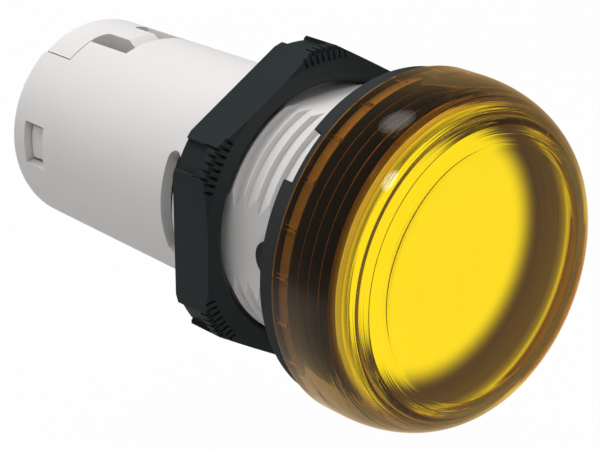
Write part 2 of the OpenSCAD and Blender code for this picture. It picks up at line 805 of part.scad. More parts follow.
// Moulded four-pin package
module bridge_rectifier() {
    color([0.12, 0.12, 0.12]) place() translate([0, board_y, bridge_z]) {
        translate([-bridge_w / 2, bridge_stand, 0]) cube([bridge_w, bridge_h, bridge_t]);
        for (s = [-1, 1], z = [bridge_t / 4, bridge_t * 3 / 4])
            translate([s * bridge_w / 2 - bridge_lead_l, 0, z - bridge_lead_w / 2])
                cube([2 * bridge_lead_l, bridge_stand + bridge_h / 4, bridge_lead_w]);
    }
}

// Round body with thicker ends, lying across the board on bent leads
module axial_resistor(z) {
    r = resistor_d / 2;
    l = resistor_l / 2;
    place() translate([0, board_y + r + 0.3, z + r]) rotate([0, 90, 0]) {
        rotate_extrude() polygon([[0, -l], [r * 0.7, -l], [r, -l + 0.35], [r, -l + 1.1],
            [r * 0.88, -l + 1.4], [r * 0.88, l - 1.4], [r, l - 1.1], [r, l - 0.35],
            [r * 0.7, l], [0, l]]);
        for (s = [-1, 1]) {
            translate([0, 0, s * (l + 0.4)]) cylinder(d = lead_d, h = 1, center = true, $fn = 16);
            translate([0, 0.2 - (r + 0.3) / 2 - 0.1, s * (l + 0.7)]) rotate([90, 0, 0])
                cylinder(d = lead_d, h = r + 0.5, center = true, $fn = 16);
        }
    }
}

module surge_resistor() { color("steelblue") axial_resistor(surge_z); }
module bleed_resistor() { color("tan") axial_resistor(bleed_z); }

// Plate of a terminal: a wide part for the boss, a narrow part for the wire
module terminal_outline(s, g) {
    intersection() {
        union() {
            chamber_outline(s, 0.45 + g);
            wire_outline(s, 0.4 + g);
        }
        circle(r = block_r - 0.45 + g);
    }
}

module terminal(s) {
    color("khaki") place() difference() {
        union() {
            translate([0, 0, terminal_z]) linear_extrude(terminal_t) terminal_outline(s, 0);
            translate([s * screw_x, screw_y, terminal_z])
                cylinder(r = screw_d / 2 + screw_clear + 0.8, h = terminal_t + terminal_boss);
            translate([s * wire_x - tail_w / 2, board_y + 0.04, terminal_z + terminal_t - eps])
                cube([tail_w, terminal_t, tail_len]);
        }
        translate([s * screw_x, screw_y, terminal_z - 1])
            cylinder(r = screw_d / 2 + screw_clear, h = terminal_t + terminal_boss + 2);
    }
}

module terminal_x1() { terminal(-1); }
module terminal_x2() { terminal(1); }

module clamp_plate(s) {
    color("silver") place() difference() {
        translate([0, 0, clamp_z]) linear_extrude(clamp_t) chamber_outline(s, 0);
        translate([s * screw_x, screw_y, clamp_z - 1])
            cylinder(r = screw_d / 2 + screw_clear, h = clamp_t + 2);
    }
}

module clamp_plate_x1() { clamp_plate(-1); }
module clamp_plate_x2() { clamp_plate(1); }

// Pan head screw with a cross recess and a driver slot
module terminal_screw(s) {
    head_z = clamp_z - 0.05 - screw_head_h;
    color("lightsteelblue") place() translate([s * screw_x, screw_y, head_z]) difference() {
        union() {
            rotate_extrude() polygon([[0, 0], [screw_head_d / 2 - 0.35, 0],
                [screw_head_d / 2, 0.35], [screw_head_d / 2, screw_head_h], [0, screw_head_h]]);
            rotate_extrude() polygon([[0, screw_head_h - eps], [screw_d / 2, screw_head_h - eps],
                [screw_d / 2, screw_head_h + screw_len - 0.4],
                [screw_d / 2 - 0.4, screw_head_h + screw_len], [0, screw_head_h + screw_len]]);
        }
        translate([-screw_head_d, -0.4, -1]) cube([2 * screw_head_d, 0.8, 1.8]);
        translate([-0.4, -1.3, -1]) cube([0.8, 2.6, 2.2]);
    }
}

module terminal_screw_x1() { terminal_screw(-1); }
module terminal_screw_x2() { terminal_screw(1); }

housing();
terminal_block();
ring_nut();
panel_gasket();
lens();
diffuser();
bezel_collar();
lens_seal();
reflector();
lamp_board();
lamp_1();
lamp_2();
lamp_3();
lamp_4();
lamp_5();
lamp_6();
supply_board();
board_header();
film_capacitor();
bridge_rectifier();
smoothing_capacitor();
surge_resistor();
bleed_resistor();
varistor();
terminal_x1();
terminal_x2();
clamp_plate_x1();
clamp_plate_x2();
terminal_screw_x1();
terminal_screw_x2();
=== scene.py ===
import math
import bmesh
import bpy
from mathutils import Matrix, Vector


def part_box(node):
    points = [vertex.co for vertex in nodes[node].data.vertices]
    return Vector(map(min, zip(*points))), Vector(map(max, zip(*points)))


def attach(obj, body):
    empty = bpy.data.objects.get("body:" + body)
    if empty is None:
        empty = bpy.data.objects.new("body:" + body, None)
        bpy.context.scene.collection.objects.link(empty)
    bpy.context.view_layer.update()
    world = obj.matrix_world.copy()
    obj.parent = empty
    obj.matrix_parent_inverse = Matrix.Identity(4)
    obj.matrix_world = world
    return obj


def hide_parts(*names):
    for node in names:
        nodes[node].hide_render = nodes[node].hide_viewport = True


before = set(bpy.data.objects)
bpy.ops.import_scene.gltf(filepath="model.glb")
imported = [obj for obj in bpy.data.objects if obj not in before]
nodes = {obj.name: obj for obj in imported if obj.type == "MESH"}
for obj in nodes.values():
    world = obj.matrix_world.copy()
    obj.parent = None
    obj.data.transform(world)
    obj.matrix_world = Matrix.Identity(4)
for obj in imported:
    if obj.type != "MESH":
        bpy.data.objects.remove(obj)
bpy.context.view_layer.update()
mm = 0.001
print("frame in:", len(nodes), "nodes")


# shader helpers: every effect that several materials use is a group with its own sockets

def newGroup(name, inputs, outputs):
    group = bpy.data.node_groups.new(name, "ShaderNodeTree")
    for label, kind, value in inputs:
        socket = group.interface.new_socket(label, in_out="INPUT", socket_type=kind)
        socket.default_value = value
    for label, kind in outputs:
        group.interface.new_socket(label, in_out="OUTPUT", socket_type=kind)
    source = group.nodes.new("NodeGroupInput")
    sink = group.nodes.new("NodeGroupOutput")
    source.location = (-900, 0)
    sink.location = (700, 0)
    return group, source, sink


def addNode(tree, kind, place=(0, 0), **settings):
    node = tree.nodes.new(kind)
    node.location = place
    for key, value in settings.items():
        setattr(node, key, value)
    return node


def mathNode(tree, operation, a, b=None, place=(0, 0), clamp=False):
    node = addNode(tree, "ShaderNodeMath", place, operation=operation, use_clamp=clamp)
    for slot, value in ((0, a), (1, b)):
        if value is None:
            continue
        if isinstance(value, (int, float)):
            node.inputs[slot].default_value = value
        else:
            tree.links.new(value, node.inputs[slot])
    return node.outputs[0]


def objectPlace(tree, place):
    # the piece's own coordinates, whole and split into axes
    coords = addNode(tree, "ShaderNodeTexCoord", place)
    split = addNode(tree, "ShaderNodeSeparateXYZ", (place[0] + 200, place[1]))
    tree.links.new(coords.outputs["Object"], split.inputs[0])
    return coords.outputs["Object"], split.outputs


def axisRadius(tree, split, left):
    # distance from the lamp's axis, which runs along y
    squareX = mathNode(tree, "MULTIPLY", split["X"], split["X"], (left, -200))
    squareZ = mathNode(tree, "MULTIPLY", split["Z"], split["Z"], (left, -400))
    total = mathNode(tree, "ADD", squareX, squareZ, (left + 200, -300))
    return mathNode(tree, "SQRT", total, None, (left + 350, -300))


def makeMouldGrain():
    # fine grain and a slow colour drift
    group, source, sink = newGroup(
        "mouldGrain",
        [("Scale", "NodeSocketFloat", 900.0), ("Flow", "NodeSocketFloat", 120.0)],
        [("Height", "NodeSocketFloat"), ("Mottle", "NodeSocketFloat")])
    coords = addNode(group, "ShaderNodeTexCoord", (-900, -300))
    fine = addNode(group, "ShaderNodeTexNoise", (-500, 150))
    fine.inputs["Detail"].default_value = 4.0
    fine.inputs["Roughness"].default_value = 0.6
    broad = addNode(group, "ShaderNodeTexNoise", (-500, -200))
    broad.inputs["Detail"].default_value = 2.0
    for noise, label in ((fine, "Scale"), (broad, "Flow")):
        group.links.new(coords.outputs["Object"], noise.inputs["Vector"])
        group.links.new(source.outputs[label], noise.inputs["Scale"])
    group.links.new(fine.outputs["Fac"], sink.inputs["Height"])
    group.links.new(broad.outputs["Fac"], sink.inputs["Mottle"])
    return group


def makeSoftEdge():
    # rounded normal at the edges, and a mask of them
    group, source, sink = newGroup(
        "softEdge",
        [("Radius", "NodeSocketFloat", 0.1 * mm), ("Gain", "NodeSocketFloat", 8.0)],
        [("Normal", "NodeSocketVector"), ("Edge", "NodeSocketFloat")])
    bevel = addNode(group, "ShaderNodeBevel", (-500, 100), samples=6)
    group.links.new(source.outputs["Radius"], bevel.inputs["Radius"])
    geometry = addNode(group, "ShaderNodeNewGeometry", (-500, -200))
    dot = addNode(group, "ShaderNodeVectorMath", (-250, -50), operation="DOT_PRODUCT")
    group.links.new(bevel.outputs["Normal"], dot.inputs[0])
    group.links.new(geometry.outputs["Normal"], dot.inputs[1])
    away = mathNode(group, "SUBTRACT", 1.0, dot.outputs["Value"], (0, -50))
    gained = mathNode(group, "MULTIPLY", away, source.outputs["Gain"], (200, -50), clamp=True)
    group.links.new(bevel.outputs["Normal"], sink.inputs["Normal"])
    group.links.new(gained, sink.inputs["Edge"])
    return group


def makeAxisMask():
    # 0 inside the inner radius, 1 outside the outer one, measured from the lamp's axis;
    # with a rise, height above the base counts as radius too, so that the mask runs on up a wall
    group, source, sink = newGroup(
        "axisMask",
        [("Inner", "NodeSocketFloat", 0.009), ("Outer", "NodeSocketFloat", 0.011),
         ("Rise", "NodeSocketFloat", 0.0), ("Base", "NodeSocketFloat", 0.0)],
        [("Mask", "NodeSocketFloat")])
    _, split = objectPlace(group, (-900, -300))
    radius = axisRadius(group, split, -450)
    height = mathNode(group, "MULTIPLY", split["Y"], -1.0, (-450, -550))
    above = mathNode(group, "SUBTRACT", height, source.outputs["Base"], (-300, -550))
    raised = mathNode(group, "MULTIPLY", above, source.outputs["Rise"], (-150, -550))
    reach = mathNode(group, "ADD", radius, raised, (0, -400))
    ramp = addNode(group, "ShaderNodeMapRange", (150, 0), interpolation_type="SMOOTHERSTEP")
    group.links.new(reach, ramp.inputs["Value"])
    group.links.new(source.outputs["Inner"], ramp.inputs["From Min"])
    group.links.new(source.outputs["Outer"], ramp.inputs["From Max"])
    group.links.new(ramp.outputs["Result"], sink.inputs["Mask"])
    return group


def makeRibLines():
    # 1 on a narrow line that repeats along the axis, 0 elsewhere
    group, source, sink = newGroup(
        "ribLines",
        [("Start", "NodeSocketFloat", 0.0037), ("Pitch", "NodeSocketFloat", 0.0009),
         ("Width", "NodeSocketFloat", 0.1)],
        [("Line", "NodeSocketFloat")])
    _, split = objectPlace(group, (-900, -300))
    height = mathNode(group, "MULTIPLY", split["Y"], -1.0, (-550, -300))
    offset = mathNode(group, "SUBTRACT", height, source.outputs["Start"], (-400, -200))
    turns = mathNode(group, "DIVIDE", offset, source.outputs["Pitch"], (-250, -200))
    near = mathNode(group, "PINGPONG", turns, 0.5, (-100, -200))
    ramp = addNode(group, "ShaderNodeMapRange", (150, 0), interpolation_type="SMOOTHSTEP")
    group.links.new(near, ramp.inputs["Value"])
    ramp.inputs["From Min"].default_value = 0.0
    group.links.new(source.outputs["Width"], ramp.inputs["From Max"])
    ramp.inputs["To Min"].default_value = 1.0
    ramp.inputs["To Max"].default_value = 0.0
    group.links.new(ramp.outputs["Result"], sink.inputs["Line"])
    return group


def makeDeepShade():
    # painted shade: 1 deep in slots and pockets, 0 on open faces
    group, source, sink = newGroup(
        "deepShade",
        [("Open", "NodeSocketFloat", 0.5), ("Closed", "NodeSocketFloat", 0.15)],
        [("Mask", "NodeSocketFloat")])
    hidden = addNode(group, "ShaderNodeAmbientOcclusion", (-500, 0), samples=8, only_local=True)
    hidden.inputs["Distance"].default_value = 4.0 * mm   # how far off a wall still counts
    ramp = addNode(group, "ShaderNodeMapRange", (-150, 0), interpolation_type="SMOOTHSTEP")
    group.links.new(hidden.outputs["AO"], ramp.inputs["Value"])
    group.links.new(source.outputs["Closed"], ramp.inputs["From Min"])
    group.links.new(source.outputs["Open"], ramp.inputs["From Max"])
    ramp.inputs["To Min"].default_value = 1.0
    ramp.inputs["To Max"].default_value = 0.0
    group.links.new(ramp.outputs["Result"], sink.inputs["Mask"])
    return group


def makeTurnedLines():
    # fine uneven rings round the axis, as on a turned mould
    group, source, sink = newGroup(
        "turnedLines",
        [("Scale", "NodeSocketFloat", 2500.0), ("Drift", "NodeSocketFloat", 60.0)],
        [("Height", "NodeSocketFloat")])
    wanderReach = 0.6 * mm   # how far a ring strays from a true circle
    whole, split = objectPlace(group, (-1100, -300))
    radius = axisRadius(group, split, -700)
    slow = addNode(group, "ShaderNodeTexNoise", (-700, 200))
    slow.inputs["Detail"].default_value = 1.0
    group.links.new(whole, slow.inputs["Vector"])
    group.links.new(source.outputs["Drift"], slow.inputs["Scale"])
    wander = mathNode(group, "MULTIPLY", slow.outputs["Fac"], wanderReach, (-500, 200))
    across = mathNode(group, "ADD", radius, wander, (-250, -100))
    place = addNode(group, "ShaderNodeCombineXYZ", (-50, -200))
    group.links.new(across, place.inputs["X"])
    group.links.new(split["Y"], place.inputs["Y"])
    lines = addNode(group, "ShaderNodeTexNoise", (200, 0))
    lines.inputs["Detail"].default_value = 3.0
    lines.inputs["Roughness"].default_value = 0.65
    group.links.new(place.outputs[0], lines.inputs["Vector"])
    group.links.new(source.outputs["Scale"], lines.inputs["Scale"])
    group.links.new(lines.outputs["Fac"], sink.inputs["Height"])
    return group


mouldGrain = makeMouldGrain()
softEdge = makeSoftEdge()
axisMask = makeAxisMask()
ribLines = makeRibLines()
turnedLines = makeTurnedLines()
deepShade = makeDeepShade()
print("shader groups ready")


def blankMaterial(name):
    material = bpy.data.materials.new(name)
    material.use_nodes = True
    tree = material.node_tree
    shader = tree.nodes["Principled BSDF"]
    return material, tree, shader


def placeGroup(tree, group, place, **values):
    node = addNode(tree, "ShaderNodeGroup", place, node_tree=group)
    for label, value in values.items():
        node.inputs[label].default_value = value
    return node


def placeMask(tree, place, radii, rise=0.0, base=0.0):
    node = placeGroup(tree, axisMask, place, Inner=radii[0] * mm, Outer=radii[1] * mm,
                      Rise=rise, Base=base * mm)
    return node.outputs["Mask"]


def mixColour(tree, factor, a, b, place=(0, 0), blend="MIX"):
    mix = addNode(tree, "ShaderNodeMix", place, data_type="RGBA", blend_type=blend)
    for slot, value in ((0, factor), (6, a), (7, b)):
        if isinstance(value, (int, float)):
            mix.inputs[slot].default_value = value
        elif isinstance(value, tuple):
            mix.inputs[slot].default_value = (*value, 1.0)
        else:
            tree.links.new(value, mix.inputs[slot])
    return mix.outputs[2]


def addBump(tree, shader, height, strength, distance, normal=None):
    bump = addNode(tree, "ShaderNodeBump", (-350, -250))
    bump.inputs["Strength"].default_value = strength
    bump.inputs["Distance"].default_value = distance * mm
    tree.links.new(height, bump.inputs["Height"])
    if normal is not None:
        tree.links.new(normal, bump.inputs["Normal"])
    tree.links.new(bump.outputs["Normal"], shader.inputs["Normal"])


def blendShaders(tree, share, one, two):
    mix = addNode(tree, "ShaderNodeMixShader", (400, 0))
    tree.links.new(share, mix.inputs[0])
    tree.links.new(one.outputs[0], mix.inputs[1])
    tree.links.new(two.outputs[0], mix.inputs[2])
    tree.links.new(mix.outputs[0], tree.nodes["Material Output"].inputs["Surface"])


grainHeight = 0.02   # mm


def mouldedPlastic(name, look):
    # satin moulded plastic: fine grain, slow colour drift, rounded edges lightened as a painted edge
    # highlight; with a deep colour, painted shade in slots and pockets
    material, tree, shader = blankMaterial(name)
    grain = placeGroup(tree, mouldGrain, (-900, 0), Scale=look["grain"], Flow=look["flow"])
    edge = placeGroup(tree, softEdge, (-900, -250), Radius=look["edge"] * mm, Gain=look["edgeGain"])
    drift = mixColour(tree, grain.outputs["Mottle"], look["dark"], look["light"], (-600, 200))
    # painted shade: slots and pockets darken towards the deep colour
    if "deep" in look:
        shade = placeGroup(tree, deepShade, (-900, 350), Open=look["open"], Closed=look["closed"])
        drift = mixColour(tree, shade.outputs["Mask"], drift, look["deep"], (-450, 350))
    # painted edge highlight: the edges take the lighter tip colour
    tipped = mixColour(tree, edge.outputs["Edge"], drift, look["tip"], (-350, 200))
    tree.links.new(tipped, shader.inputs["Base Color"])
    rough = addNode(tree, "ShaderNodeMapRange", (-600, -60))
    rough.inputs["To Min"].default_value = look["rough"][0]
    rough.inputs["To Max"].default_value = look["rough"][1]
    tree.links.new(grain.outputs["Height"], rough.inputs["Value"])
    tree.links.new(rough.outputs["Result"], shader.inputs["Roughness"])
    addBump(tree, shader, grain.outputs["Height"], look["bump"], grainHeight, edge.outputs["Normal"])
    shader.inputs["Metallic"].default_value = look.get("metal", 0.0)
    shader.inputs["Specular IOR Level"].default_value = look.get("specular", 0.5)
    return material


# looks: two tones that the slow drift mixes, a lighter colour on the edges as a painted edge highlight,
# noise scales, edge radius in mm
# the body's deep colour is painted shade for slots and pockets, with open and closed as its limits
bodyLook = {"dark": (0.60, 0.585, 0.575), "light": (0.64, 0.625, 0.615), "tip": (0.80, 0.79, 0.78),
            "grain": 1500.0, "flow": 90.0, "edge": 0.09, "edgeGain": 3.0,
            "rough": (0.42, 0.56), "bump": 0.12, "specular": 0.35,
            "deep": (0.05, 0.05, 0.05), "open": 0.6, "closed": 0.25}
nutLook = {"dark": (0.015, 0.020, 0.021), "light": (0.020, 0.026, 0.027), "tip": (0.045, 0.052, 0.053),
           "grain": 2200.0, "flow": 140.0, "edge": 0.08, "edgeGain": 3.0,
           "rough": (0.42, 0.6), "bump": 0.25, "specular": 0.3}
gasketLook = {"dark": (0.022, 0.025, 0.026), "light": (0.028, 0.031, 0.032), "tip": (0.06, 0.065, 0.067),
              "grain": 2600.0, "flow": 160.0, "edge": 0.08, "edgeGain": 2.0,
              "rough": (0.6, 0.75), "bump": 0.3, "specular": 0.3}
# the collar's line and land colours are painted highlights
collarLook = {"dark": (0.005, 0.007, 0.009), "light": (0.007, 0.01, 0.013), "tip": (0.03, 0.022, 0.015),
              "grain": 900.0, "flow": 150.0, "edge": 0.05, "edgeGain": 1.5,
              "rough": (0.3, 0.4), "bump": 0.03, "specular": 0.08,
              "line": (0.95, 0.62, 0.3), "lineWidth": 0.15,
              "land": (0.34, 0.28, 0.13), "landWidth": 0.5}
sealLook = dict(collarLook, rough=(0.45, 0.6))
whiteLook = {"dark": (0.74, 0.74, 0.72), "light": (0.82, 0.82, 0.8), "tip": (0.9, 0.9, 0.88),
             "grain": 1200.0, "flow": 110.0, "edge": 0.06, "edgeGain": 2.0,
             "rough": (0.3, 0.42), "bump": 0.08}
boardLook = {"dark": (0.016, 0.085, 0.04), "light": (0.025, 0.12, 0.055), "tip": (0.3, 0.3, 0.2),
             "grain": 1600.0, "flow": 300.0, "edge": 0.05, "edgeGain": 2.0,
             "rough": (0.3, 0.4), "bump": 0.1}
blackPartLook = dict(nutLook, rough=(0.35, 0.5))
filmLook = dict(whiteLook, dark=(0.45, 0.25, 0.03), light=(0.55, 0.31, 0.05), tip=(0.7, 0.45, 0.12))
canLook = dict(whiteLook, dark=(0.01, 0.015, 0.045), light=(0.015, 0.02, 0.06), tip=(0.25, 0.26, 0.28))
blueLook = dict(whiteLook, dark=(0.06, 0.16, 0.26), light=(0.08, 0.2, 0.32), tip=(0.2, 0.3, 0.4))
tanLook = dict(whiteLook, dark=(0.36, 0.25, 0.13), light=(0.43, 0.31, 0.17), tip=(0.55, 0.42, 0.28))
discLook = dict(whiteLook, dark=(0.02, 0.045, 0.3), light=(0.03, 0.06, 0.38), tip=(0.1, 0.15, 0.5))
lampLook = dict(whiteLook, dark=(0.72, 0.62, 0.3), light=(0.8, 0.7, 0.34), tip=(0.9, 0.82, 0.5))
zincLook = {"dark": (0.46, 0.47, 0.49), "light": (0.58, 0.59, 0.61), "tip": (0.8, 0.8, 0.82),
            "grain": 3000.0, "flow": 400.0, "edge": 0.06, "edgeGain": 3.0,
            "rough": (0.24, 0.42), "bump": 0.12, "metal": 1.0}
brassLook = dict(zincLook, dark=(0.56, 0.42, 0.17), light=(0.68, 0.53, 0.24), tip=(0.86, 0.74, 0.45))

finishes = {
    "housing": ("bodyPlastic", bodyLook), "terminal_block": ("blockPlastic", bodyLook),
    "ring_nut": ("nutPlastic", nutLook), "panel_gasket": ("gasketRubber", gasketLook),
    "lens_seal": ("sealRubber", sealLook), "reflector": ("reflectorWhite", whiteLook),
    "lamp_board": ("lampBoardWhite", whiteLook), "supply_board": ("supplyBoardGreen", boardLook),
    "board_header": ("headerBlack", blackPartLook), "film_capacitor": ("filmBox", filmLook),
    "bridge_rectifier": ("rectifierBlack", blackPartLook), "smoothing_capacitor": ("canSleeve", canLook),
    "surge_resistor": ("surgeLacquer", blueLook), "bleed_resistor": ("bleedLacquer", tanLook),
    "varistor": ("varistorDip", discLook),
    "terminal_x1": ("terminalBrass", brassLook), "terminal_x2": ("terminalBrass", brassLook),
    "clamp_plate_x1": ("clampZinc", zincLook), "clamp_plate_x2": ("clampZinc", zincLook),
    "terminal_screw_x1": ("screwZinc", zincLook), "terminal_screw_x2": ("screwZinc", zincLook),
}
for number in range(1, 7):
    finishes["lamp_%d" % number] = ("lampBody", lampLook)

made = {}
for nodeName, (materialName, look) in finishes.items():
    if materialName not in made:
        made[materialName] = mouldedPlastic(materialName, look)
    nodes[nodeName].data.materials.clear()
    nodes[nodeName].data.materials.append(made[materialName])
print("finishes on", len(finishes), "nodes")


# turned pieces: outlines are (radius, height) in mm, height measured from the panel towards the lens

def arc(centre, radii, start, end, count):
    points = []
    for i in range(count + 1):
        angle = math.radians(start + (end - start) * i / count)
        points.append((centre[0] + radii[0] * math.cos(angle), centre[1] + radii[1] * math.sin(angle)))
    return points


def revolve(name, outline, steps=192, sharp=25.0):
    mesh = bpy.data.meshes.new(name)
    bm = bmesh.new()
    rings = []
    for radius, height in outline:
        if radius < 1e-6:
            rings.append([bm.verts.new((0.0, -height * mm, 0.0))])
            continue
        ring = []
        for i in range(steps):
            angle = 2.0 * math.pi * i / steps
            ring.append(bm.verts.new((radius * mm * math.sin(angle), -height * mm,
                                      radius * mm * math.cos(angle))))
        rings.append(ring)
    pairs = list(zip(rings, rings[1:]))
    if len(rings[0]) > 1:   # an outline that starts off the axis closes on itself
        pairs.append((rings[-1], rings[0]))
    for one, two in pairs:
        for i in range(steps):
            j = (i + 1) % steps
            if len(one) == 1:
                bm.faces.new((one[0], two[i], two[j]))
            elif len(two) == 1:
                bm.faces.new((one[i], two[0], one[j]))
            else:
                bm.faces.new((one[i], two[i], two[j], one[j]))
    bmesh.ops.recalc_face_normals(bm, faces=bm.faces)
    bm.to_mesh(mesh)
    bm.free()
    mesh.shade_smooth()
    mesh.set_sharp_from_angle(angle=math.radians(sharp))
    piece = bpy.data.objects.new(name, mesh)
    bpy.context.scene.collection.objects.link(piece)
    return piece


# amber lens: thick clear cap with an elliptical shoulder and a stepped inner face
lensLow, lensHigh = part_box("lens")
lensCap = {
    "radius": lensHigh.x / mm, "rear": -lensHigh.y / mm, "front": -lensLow.y / mm,
    "rim": 2.04,             # straight rim behind the shoulder
    "faceRadius": 10.56,     # where the shoulder's curve ends
    "rearBevel": 0.12,
    "wall": 1.3,
    "ledgeDrop": 1.07,       # narrow ledge inside the shoulder, below the inner face
    "ledgeWidth": 0.36,
    "lipDrop": 0.4,          # fine edge above it
    "lipWidth": 0.08,
    "marks": 23, "markStart": -6.2, "markLength": 1.15, "markWidth": 0.34, "markDepth": 0.25,
}


def lensOutline(cap):
    shoulder = cap["rear"] + cap["rim"]
    height = cap["front"] - shoulder
    centre = (cap["faceRadius"], shoulder)
    outer = (cap["radius"] - cap["faceRadius"], height)
    inner = (outer[0] - cap["wall"], height - cap["wall"])
    inFace = cap["front"] - cap["wall"]
    ledge = math.degrees(math.asin((inner[1] - cap["ledgeDrop"]) / inner[1]))
    lip = math.degrees(math.asin((inner[1] - cap["lipDrop"]) / inner[1]))
    low = arc(centre, inner, 0, ledge, 32)
    high = arc(centre, inner, lip, 90, 12)
    points = [(0.0, cap["front"])] + arc(centre, outer, 0, 90, 48)[::-1]
    points += [(cap["radius"], cap["rear"] + cap["rearBevel"])]
    points += [(cap["radius"] - cap["rearBevel"], cap["rear"])]
    points += [(centre[0] + inner[0], cap["rear"])] + low
    points += [(low[-1][0] - cap["ledgeWidth"], low[-1][1]), (high[0][0] - cap["lipWidth"], high[0][1])]
    return points + high + [(0.0, inFace)]


lensPiece = revolve("lensCap", lensOutline(lensCap), 256)


# corner numbers of a box's six faces
boxFaces = ((0, 1, 3, 2), (4, 6, 7, 5), (0, 4, 5, 1), (2, 3, 7, 6), (0, 2, 6, 4), (1, 5, 7, 3))


def cutMarks(piece, cap):
    # short radial nicks inside the rim, cut with one joined cutter
    mesh = bpy.data.meshes.new("markCutter")
    bm = bmesh.new()
    inRadius = cap["radius"] - cap["wall"]
    past = 0.5   # the cutter starts behind the rim and inside the wall
    for i in range(cap["marks"]):
        angle = math.radians(cap["markStart"] - 360.0 * i / cap["marks"])
        out = Vector((math.sin(angle), 0.0, math.cos(angle)))
        side = Vector((math.cos(angle), 0.0, -math.sin(angle)))
        corners = []
        for height in (cap["rear"] - past, cap["rear"] + cap["markLength"]):
            for radius in (inRadius - past, inRadius + cap["markDepth"]):
                for across in (-cap["markWidth"] / 2, cap["markWidth"] / 2):
                    spot = out * radius + side * across + Vector((0.0, -height, 0.0))
                    corners.append(bm.verts.new(spot * mm))
        for face in boxFaces:
            bm.faces.new([corners[k] for k in face])
    bmesh.ops.recalc_face_normals(bm, faces=bm.faces)
    bm.to_mesh(mesh)
    bm.free()
    cutter = bpy.data.objects.new("markCutter", mesh)
    bpy.context.scene.collection.objects.link(cutter)
    cut = piece.modifiers.new("marks", "BOOLEAN")
    cut.object = cutter
    cut.solver = "EXACT"
    bpy.context.view_layer.update()
    graph = bpy.context.evaluated_depsgraph_get()
    result = bpy.data.meshes.new_from_object(piece.evaluated_get(graph))
    piece.modifiers.clear()
    piece.data = result
    bpy.data.objects.remove(cutter)


cutMarks(lensPiece, lensCap)


def clearAmber(name, look):
    # clear tinted plastic with turned rings; a painted glow, stronger at grazing angles, stands in for light
    # scattered along it
    material, tree, shader = blankMaterial(name)
    shader.inputs["Base Color"].default_value = (*look["tint"], 1.0)
    shader.inputs["Roughness"].default_value = look["rough"]
    shader.inputs["IOR"].default_value = look["ior"]
    shader.inputs["Transmission Weight"].default_value = 1.0
    facing = addNode(tree, "ShaderNodeLayerWeight", (-900, 400))
    facing.inputs["Blend"].default_value = 0.5
    grazing = mathNode(tree, "POWER", facing.outputs["Facing"], look["grazing"], (-650, 400))
    scatter = mixColour(tree, grazing, (0.0, 0.0, 0.0), look["scatter"], (-400, 300))
    tree.links.new(scatter, shader.inputs["Emission Color"])
    shader.inputs["Emission Strength"].default_value = look["glow"]
    rings = placeGroup(tree, turnedLines, (-900, 0), Scale=look["rings"], Drift=look["drift"])
    begin = placeMask(tree, (-900, -200), look["ringsIn"])
    end = placeMask(tree, (-900, -400), look["ringsOut"])
    span = mathNode(tree, "SUBTRACT", begin, end, (-700, -300))
    level = mathNode(tree, "SUBTRACT", rings.outputs["Height"], 0.5, (-700, -100))
    height = mathNode(tree, "MULTIPLY", level, span, (-550, -100))
    addBump(tree, shader, height, 1.0, look["depth"])
    passing = addNode(tree, "ShaderNodeBsdfTransparent", (0, -300))
    passing.inputs["Color"].default_value = (*look["shade"], 1.0)
    path = addNode(tree, "ShaderNodeLightPath", (-200, 300))
    blendShaders(tree, path.outputs["Is Shadow Ray"], shader, passing)
    return material


amberLook = {"tint": (0.76, 0.48, 0.14), "rough": 0.02, "ior": 1.585,
             "scatter": (1.0, 0.56, 0.11), "glow": 0.5, "grazing": 5.0, "shade": (0.88, 0.68, 0.37),
             "rings": 900.0, "drift": 60.0, "depth": 0.002,
             "ringsIn": (10.0, 12.0), "ringsOut": (13.0, 13.4)}   # radii where the rings fade in and out
insideLook = dict(amberLook, rings=1900.0, depth=0.09, ringsIn=(10.0, 10.9))
# the marks' bright orange is a painted highlight
markLook = {"dark": (0.85, 0.46, 0.12), "light": (0.95, 0.55, 0.16), "tip": (1.0, 0.7, 0.3),
            "grain": 1500.0, "flow": 200.0, "edge": 0.03, "edgeGain": 1.0,
            "rough": (0.3, 0.4), "bump": 0.05}
lensPiece.data.materials.append(clearAmber("amberOutside", amberLook))
lensPiece.data.materials.append(clearAmber("amberInside", insideLook))
lensPiece.data.materials.append(mouldedPlastic("amberMarks", markLook))


def splitSkins(piece, cap):
    # the outer skin, the inner skin, and one flank of each mark, which gets a painted highlight where it
    # catches the light
    shoulder = cap["rear"] + cap["rim"]
    markFoot = cap["radius"] - cap["wall"]
    for face in piece.data.polygons:
        radius = math.hypot(face.center.x, face.center.z) / mm
        height = -face.center.y / mm
        wide = max(0.0, radius - cap["faceRadius"]) / (cap["radius"] - cap["faceRadius"])
        high = max(0.0, height - shoulder) / (cap["front"] - shoulder)
        outside = math.hypot(wide, high) > 0.97 or height > cap["front"] - 0.01
        face.material_index = 0 if outside else 1
        across = Vector((face.center.z, 0.0, -face.center.x)).normalized()
        notched = markFoot < radius < markFoot + cap["markDepth"] and height < shoulder
        if notched and face.normal.dot(across) > 0.9:
            face.material_index = 2


splitSkins(lensPiece, lensCap)
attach(lensPiece, "base")
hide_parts("lens")
print("lens built with", lensCap["marks"], "marks")

# diffuser: painted glow on the floor, painted shade on the curved wall that the light reaches less and less
bowl = {"floor": 4.3, "mouth": 11.8, "round": 2.2, "top": 6.9, "thick": 0.5,
        "lipRadius": 12.6, "lipThick": 0.5}


